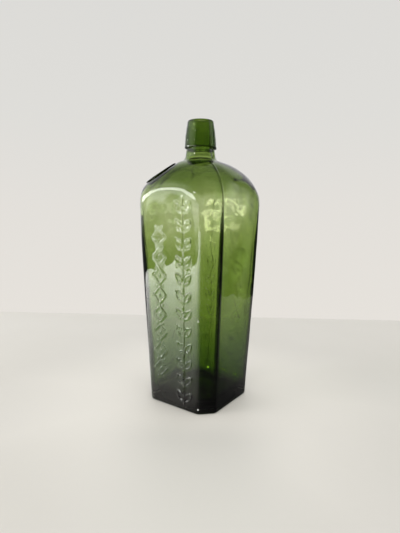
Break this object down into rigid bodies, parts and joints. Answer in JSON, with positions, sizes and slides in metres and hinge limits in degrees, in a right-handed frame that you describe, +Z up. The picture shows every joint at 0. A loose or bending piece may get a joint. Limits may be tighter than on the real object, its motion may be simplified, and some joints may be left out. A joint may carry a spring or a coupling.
{
  "type": "gin bottle",
  "caption": "Tall square green glass bottle, tapering to its base, with arched panels, flat corners, domed shoulder, tapered lip and a round shoulder seal.",
  "frame": {"origin": "middle of the base, on the plane that the bottle stands on", "axes": "+Z up through the neck; the two ornamented panels face -Y and +Y, the plain ones -X and +X; the seal is over the corner between -X and -Y"},
  "size_m": [0.1018, 0.1018, 0.28],
  "materials": {
    "body_glass": "clear green, slightly uneven",
    "lip_glass": "deep green, fire-polished",
    "seal_glass": "deep green, pressed"
  },
  "bodies": {
    "root": {"bottle_body": "body_glass", "lip_collar": "lip_glass", "shoulder_seal": "seal_glass"}
  },
  "joints": []
}
